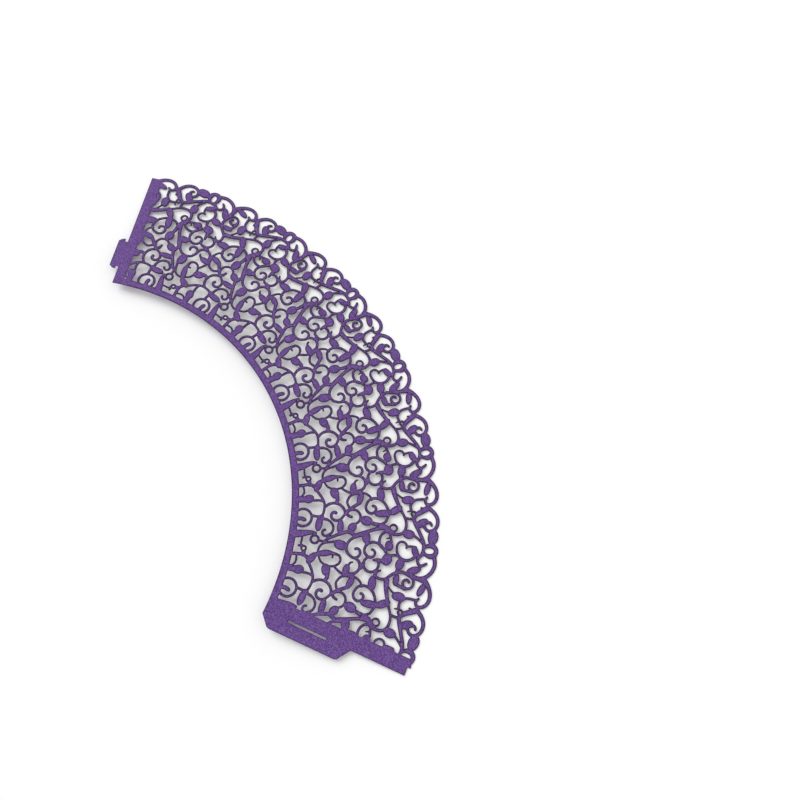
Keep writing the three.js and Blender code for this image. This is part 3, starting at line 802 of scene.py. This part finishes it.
# The laser's heat browns the ink beside each cut, painted shade darkens it there too, and both fade
# out inwards
browning_and_shade_read = add(pearl, "ShaderNodeAttribute", settings={"attribute_name": "browning_and_painted_shade"})
fade = add(
    pearl,
    "ShaderNodeMath",
    settings={"operation": "POWER"},
    values={1: BROWN_AND_SHADE_FADE},
    links={0: browning_and_shade_read.outputs["Fac"]},
)
browned_and_shaded = add(
    pearl,
    "ShaderNodeMix",
    settings={"data_type": "RGBA"},
    values={MIX_SECOND: linear("#24182f")},
    links={MIX_SHARE: fade.outputs["Value"], MIX_FIRST: face.outputs[MIX_COLOUR]},
)
grit = add(
    pearl,
    "ShaderNodeBump",
    values={"Strength": 0.25, "Distance": GRIT_HEIGHT * MM},
    links={"Height": grain.outputs["Fac"]},
)
pearl_shader = add(
    pearl,
    "ShaderNodeBsdfPrincipled",
    values={"Metallic": 0.05, "Roughness": 0.7, "IOR": 1.5, "Specular IOR Level": 0.12},
    links={"Base Color": browned_and_shaded.outputs[MIX_COLOUR], "Normal": grit.outputs["Normal"]},
)
add(pearl, "ShaderNodeOutputMaterial", links={"Surface": pearl_shader.outputs["BSDF"]})

# Cut edge: the paper's core, burnt by the laser and painted darker still as shade, a dark, matt
# violet grey
browned_and_shaded_edge, browned_and_shaded_tree = new_material("laser_browned_paper_painted_shade")
browned_and_shaded_shader = add(
    browned_and_shaded_tree,
    "ShaderNodeBsdfPrincipled",
    values={"Base Color": linear("#2c1f36"), "Roughness": 0.85, "IOR": 1.45},
)
add(browned_and_shaded_tree, "ShaderNodeOutputMaterial", links={"Surface": browned_and_shaded_shader.outputs["BSDF"]})

sheet.data.materials.append(pearl_card)
sheet.data.materials.append(browned_and_shaded_edge)
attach(sheet, "root")
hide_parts("wrapper_sheet")

# A table in matt white paint, which spreads the light with hardly any gloss. It is lifted a little
# for the camera, so that the open table stays white behind the sheet's shade.
FLOOR_SIZE = 3.0
TABLE_LIFT = 0.045
bpy.ops.object.select_all(action="DESELECT")
bpy.ops.mesh.primitive_plane_add(size=FLOOR_SIZE, location=(0, 0, 0))
table = bpy.context.object
table.name = "white_table"
white_paint, painted = new_material("matt_white_paint")
paint = add(
    painted,
    "ShaderNodeBsdfPrincipled",
    values={"Base Color": linear("#f6f6f6"), "Roughness": 0.9},
)
lift = add(
    painted,
    "ShaderNodeMath",
    settings={"operation": "MULTIPLY"},
    values={1: TABLE_LIFT},
    links={0: seen_directly(painted)},
)
glow = add(
    painted,
    "ShaderNodeEmission",
    values={"Color": linear("#ffffff")},
    links={"Strength": lift.outputs["Value"]},
)
lifted = add(
    painted,
    "ShaderNodeAddShader",
    links={0: paint.outputs["BSDF"], 1: glow.outputs["Emission"]},
)
add(painted, "ShaderNodeOutputMaterial", links={"Surface": lifted.outputs["Shader"]})
table.data.materials.append(white_paint)

# Soft light from all round, seen as plain white
ROOM_LIGHT = 0.67
PLAIN_WHITE = 1.0
world = bpy.data.worlds.new("soft_room")
world.use_nodes = True
bpy.context.scene.world = world
room = world.node_tree
room.nodes.clear()
white = linear("#ffffff")
walls = add(room, "ShaderNodeBackground", values={"Color": white, "Strength": ROOM_LIGHT})
backdrop = add(room, "ShaderNodeBackground", values={"Color": white, "Strength": PLAIN_WHITE})
shown = add(
    room,
    "ShaderNodeMixShader",
    links={
        "Fac": seen_directly(room),
        1: walls.outputs["Background"],
        2: backdrop.outputs["Background"],
    },
)
add(room, "ShaderNodeOutputWorld", links={"Surface": shown.outputs["Shader"]})

# A window's light from the picture's upper left: its place is only the way it comes from, and its
# spread in degrees keeps the shade soft
LIGHT_FROM = (-0.95, -0.32, 0.84)
LIGHT_SPREAD = 45
LIGHT_STRENGTH = 1.8
bpy.ops.object.light_add(type="SUN", location=LIGHT_FROM)
daylight = bpy.context.object
daylight.name = "window_light"
daylight.data.angle = math.radians(LIGHT_SPREAD)
daylight.data.energy = LIGHT_STRENGTH
daylight.rotation_euler = Vector(LIGHT_FROM).to_track_quat("Z", "Y").to_euler()

bpy.context.scene.view_settings.view_transform = "Standard"
